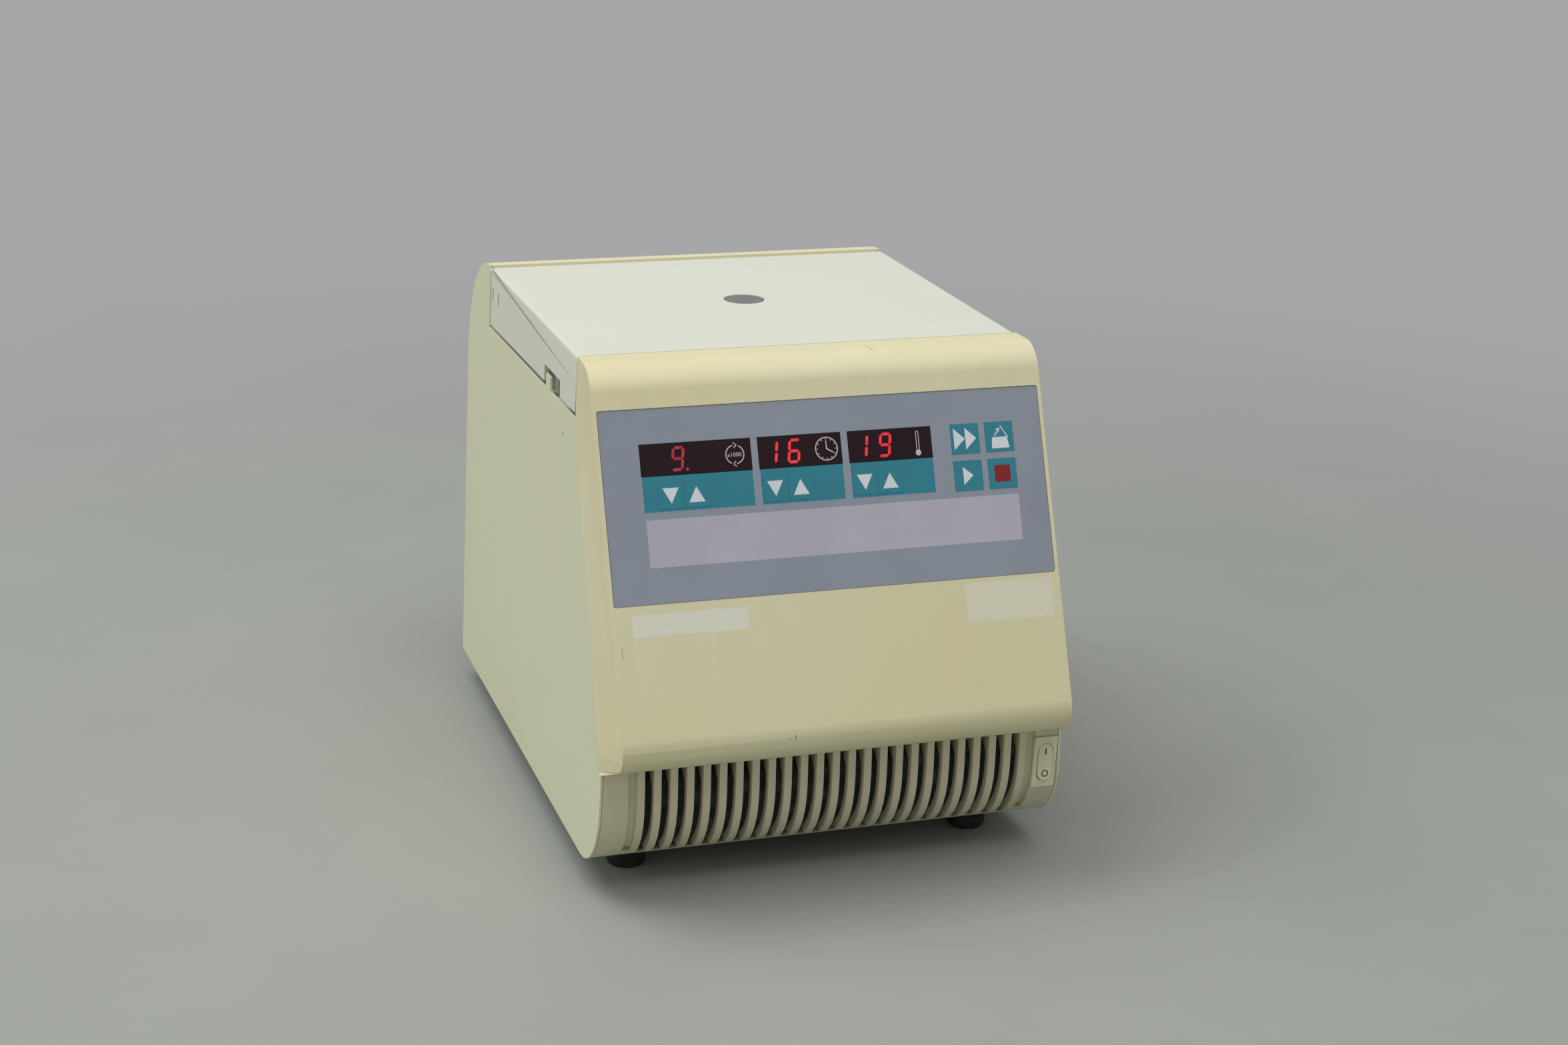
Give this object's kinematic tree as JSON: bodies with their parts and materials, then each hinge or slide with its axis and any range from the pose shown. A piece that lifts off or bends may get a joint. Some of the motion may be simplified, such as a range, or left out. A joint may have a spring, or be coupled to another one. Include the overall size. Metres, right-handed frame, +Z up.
{
  "type": "refrigerated_centrifuge",
  "caption": "Benchtop refrigerated micro centrifuge with a hinged flat lid, sloped control panel, slotted front grille, rear hump and rubber feet",
  "frame": {"origin": "centre of the body's outline, on the surface that the feet stand on", "axes": "+Z up, front faces -Y, +X to the right seen from the front"},
  "size_m": [0.296, 0.4314, 0.3185],
  "materials": {
    "side_cream": "fine spark-eroded grain",
    "front_cream": "fine spark-eroded grain, yellowed",
    "lid_cream": "fine spark-eroded grain",
    "grille_cream": "fine grain",
    "panel_film": "satin printed film",
    "window_film": "smoked red film",
    "key_film": "satin printed film",
    "rubber": "matt",
    "filter": "open woven",
    "stainless": "spun",
    "aluminium": "satin anodised",
    "steel": "zinc plated",
    "copper": "drawn copper tube",
    "foam": "closed-cell foam",
    "board": "solder mask",
    "black_plastic": "moulded",
    "black_enamel": "stoved enamel",
    "switch_cream": "moulded",
    "glass": "smoked"
  },
  "bodies": {
    "housing": {"base_tray": "steel", "chamber_bowl": "stainless", "chamber_foam": "foam", "compressor": "black_enamel", "condenser": "aluminium", "control_board": "board", "deck": "lid_cream", "display_board": "board", "evaporator_coil": "copper", "filter_mesh": "filter", "foot_front_left": "rubber", "foot_front_right": "rubber", "foot_rear_left": "rubber", "foot_rear_right": "rubber", "front_moulding": "front_cream", "grille": "grille_cream", "hinge_bracket_left": "steel", "hinge_bracket_right": "steel", "hinge_shaft": "steel", "lid_spring": "steel", "lock_motor": "black_plastic", "membrane_panel": "panel_film", "motor": "steel", "motor_damper_1": "rubber", "motor_damper_2": "rubber", "motor_damper_3": "rubber", "motor_plate": "aluminium", "power_inlet": "black_plastic", "rear_cover": "side_cream", "refrigerant_pipe": "copper", "side_panel_left": "side_cream", "side_panel_right": "side_cream", "switch_body": "switch_cream", "window_speed": "window_film", "window_temperature": "window_film", "window_time": "window_film"},
    "lid": {"lid_shell": "lid_cream", "lid_foam": "foam", "lid_liner": "lid_cream", "lid_gasket": "rubber", "sight_glass": "glass", "lid_arm_left": "steel", "lid_arm_right": "steel"},
    "rotor": {"rotor": "aluminium", "rotor_lid": "aluminium", "drive_shaft": "steel"},
    "rotor_knob": {"rotor_knob": "black_plastic"},
    "fan": {"fan_blades": "black_plastic"},
    "lock": {"lock_bar": "steel"},
    "rocker": {"switch_rocker": "switch_cream"},
    "key_speed_down": {"key_speed_down": "key_film"},
    "key_speed_up": {"key_speed_up": "key_film"},
    "key_time_down": {"key_time_down": "key_film"},
    "key_time_up": {"key_time_up": "key_film"},
    "key_temperature_down": {"key_temperature_down": "key_film"},
    "key_temperature_up": {"key_temperature_up": "key_film"},
    "key_short_spin": {"key_short_spin": "key_film"},
    "key_lid": {"key_lid": "key_film"},
    "key_start": {"key_start": "key_film"},
    "key_stop": {"key_stop": "key_film"}
  },
  "joints": [
    {"name": "lid_hinge", "type": "hinge", "parent": "housing", "child": "lid", "pos_m": [0, 0.13875, 0.3105], "axis": [-1, 0, 0], "range_deg": [0, 75]},
    {"name": "rotor_spin", "type": "hinge", "parent": "housing", "child": "rotor", "pos_m": [0, 0.01915, 0.21], "axis": [0, 0, 1], "continuous": true},
    {"name": "rotor_knob_turn", "type": "hinge", "parent": "rotor", "child": "rotor_knob", "pos_m": [0, 0.01915, 0.26], "axis": [0, 0, 1], "range_deg": [0, 180]},
    {"name": "fan_spin", "type": "hinge", "parent": "housing", "child": "fan", "pos_m": [-0.04, -0.11425, 0.062], "axis": [0, 1, 0], "continuous": true},
    {"name": "lid_lock_slide", "type": "slide", "parent": "housing", "child": "lock", "axis": [0, 1, 0], "range_m": [0, 0.006]},
    {"name": "power_rocker", "type": "hinge", "parent": "housing", "child": "rocker", "pos_m": [0.1366, -0.18556, 0.0672], "axis": [1, 0, 0], "range_deg": [0, 10]},
    {"name": "key_speed_down_press", "type": "slide", "parent": "housing", "child": "key_speed_down", "axis": [0, 0.9232, -0.3843], "range_m": [0, 0.0008], "stiffness_N_per_m": 400},
    {"name": "key_speed_up_press", "type": "slide", "parent": "housing", "child": "key_speed_up", "axis": [0, 0.9232, -0.3843], "range_m": [0, 0.0008], "stiffness_N_per_m": 400},
    {"name": "key_time_down_press", "type": "slide", "parent": "housing", "child": "key_time_down", "axis": [0, 0.9232, -0.3843], "range_m": [0, 0.0008], "stiffness_N_per_m": 400},
    {"name": "key_time_up_press", "type": "slide", "parent": "housing", "child": "key_time_up", "axis": [0, 0.9232, -0.3843], "range_m": [0, 0.0008], "stiffness_N_per_m": 400},
    {"name": "key_temperature_down_press", "type": "slide", "parent": "housing", "child": "key_temperature_down", "axis": [0, 0.9232, -0.3843], "range_m": [0, 0.0008], "stiffness_N_per_m": 400},
    {"name": "key_temperature_up_press", "type": "slide", "parent": "housing", "child": "key_temperature_up", "axis": [0, 0.9232, -0.3843], "range_m": [0, 0.0008], "stiffness_N_per_m": 400},
    {"name": "key_short_spin_press", "type": "slide", "parent": "housing", "child": "key_short_spin", "axis": [0, 0.9232, -0.3843], "range_m": [0, 0.0008], "stiffness_N_per_m": 400},
    {"name": "key_lid_press", "type": "slide", "parent": "housing", "child": "key_lid", "axis": [0, 0.9232, -0.3843], "range_m": [0, 0.0008], "stiffness_N_per_m": 400},
    {"name": "key_start_press", "type": "slide", "parent": "housing", "child": "key_start", "axis": [0, 0.9232, -0.3843], "range_m": [0, 0.0008], "stiffness_N_per_m": 400},
    {"name": "key_stop_press", "type": "slide", "parent": "housing", "child": "key_stop", "axis": [0, 0.9232, -0.3843], "range_m": [0, 0.0008], "stiffness_N_per_m": 400}
  ]
}
